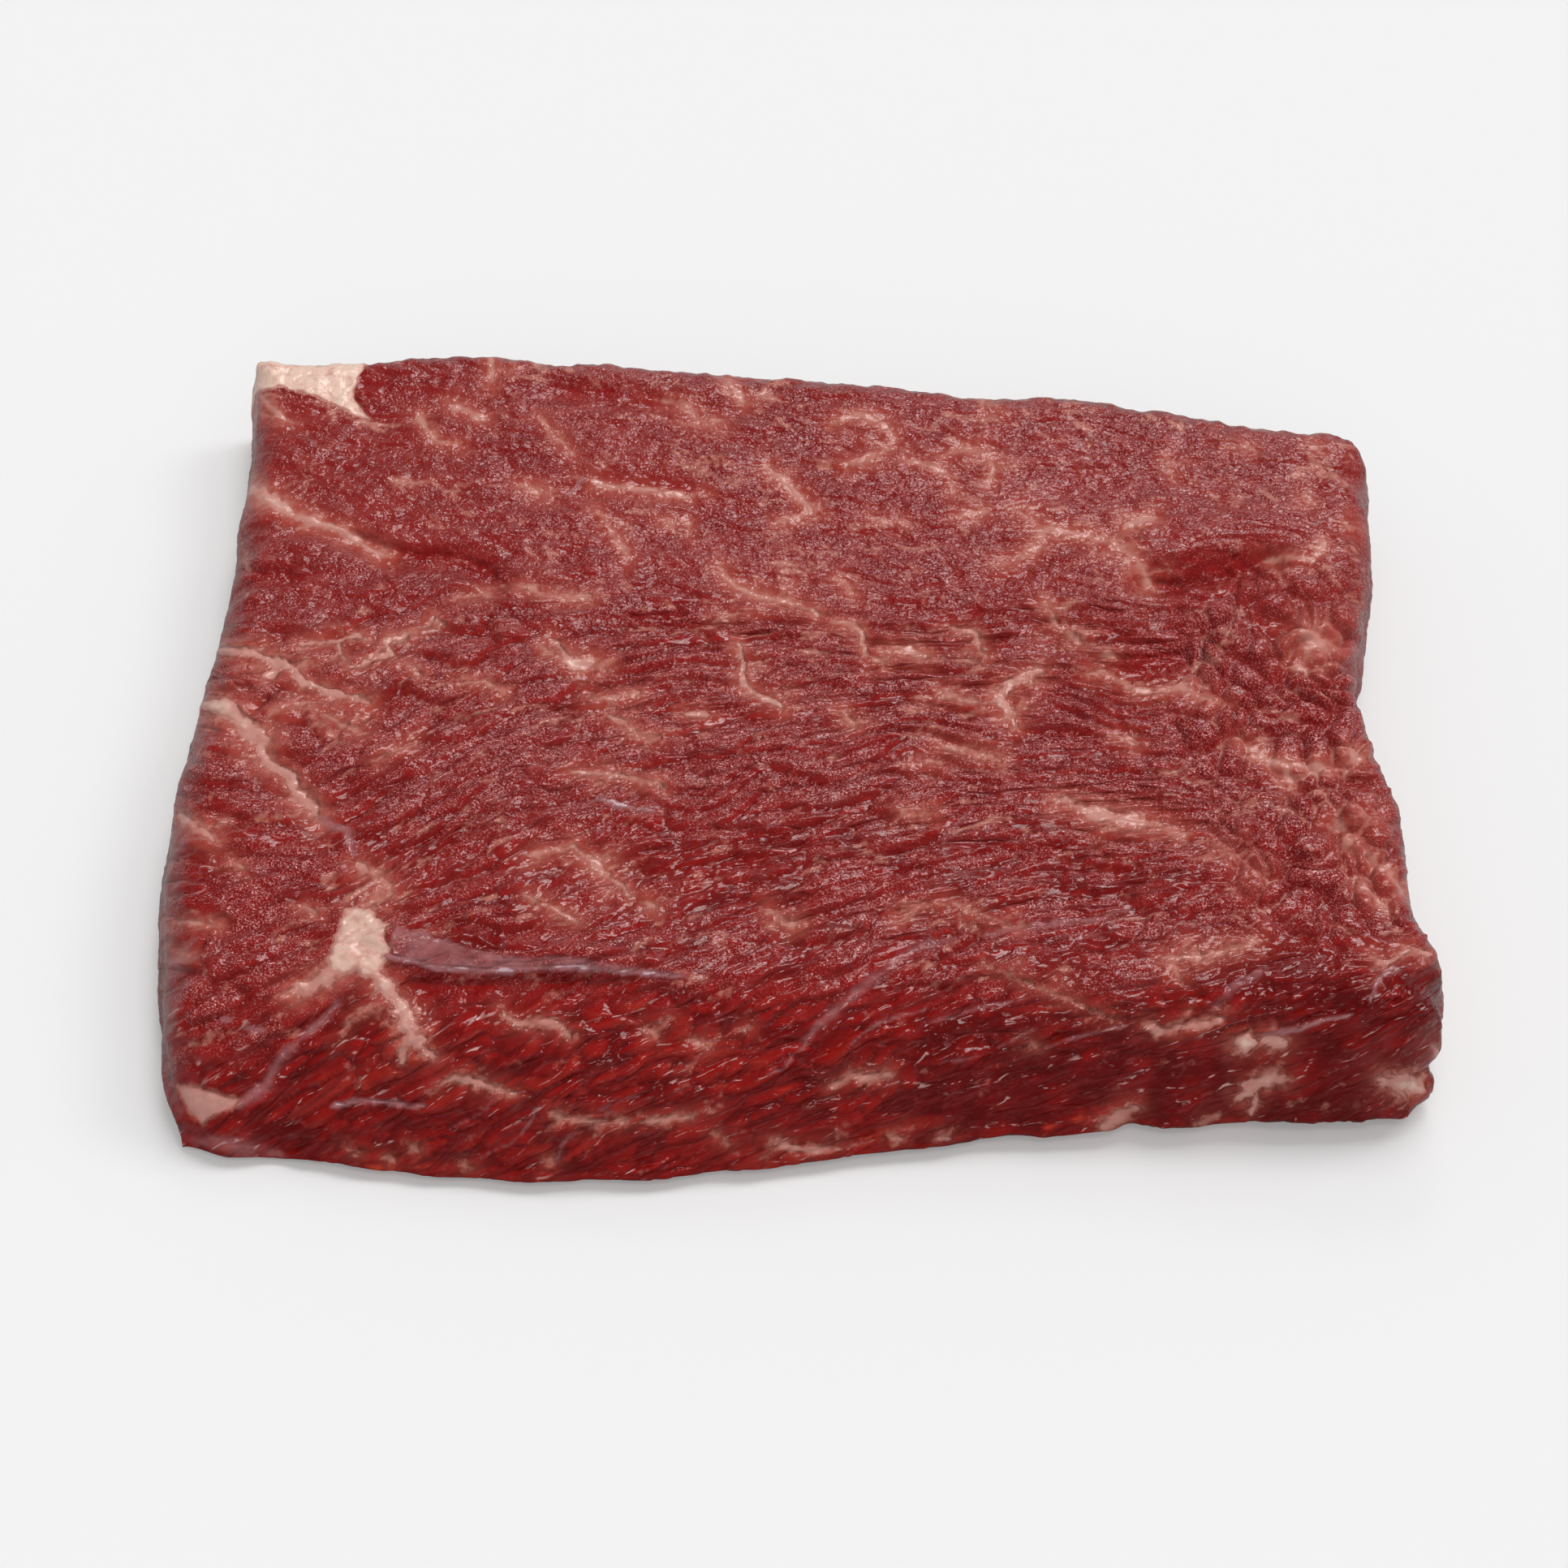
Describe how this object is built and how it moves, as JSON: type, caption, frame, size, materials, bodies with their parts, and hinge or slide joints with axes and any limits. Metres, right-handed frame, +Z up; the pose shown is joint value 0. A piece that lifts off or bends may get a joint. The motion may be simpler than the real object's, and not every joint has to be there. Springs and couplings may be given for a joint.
{
  "type": "denver steak",
  "caption": "Broad raw beef steak, a slab with a nearly level top, a long sloping front edge, marbling and a strip of silver skin.",
  "frame": {"origin": "middle of the steak's width and depth, on the surface that it lies on", "axes": "+Z up, +X to the right along the long front edge, -Y toward the sloping front edge"},
  "size_m": [0.1834, 0.1628, 0.0229],
  "materials": {
    "beef": "moist raw lean beef with pale marbling"
  },
  "bodies": {
    "root": {"denver_steak": "beef"}
  },
  "joints": []
}
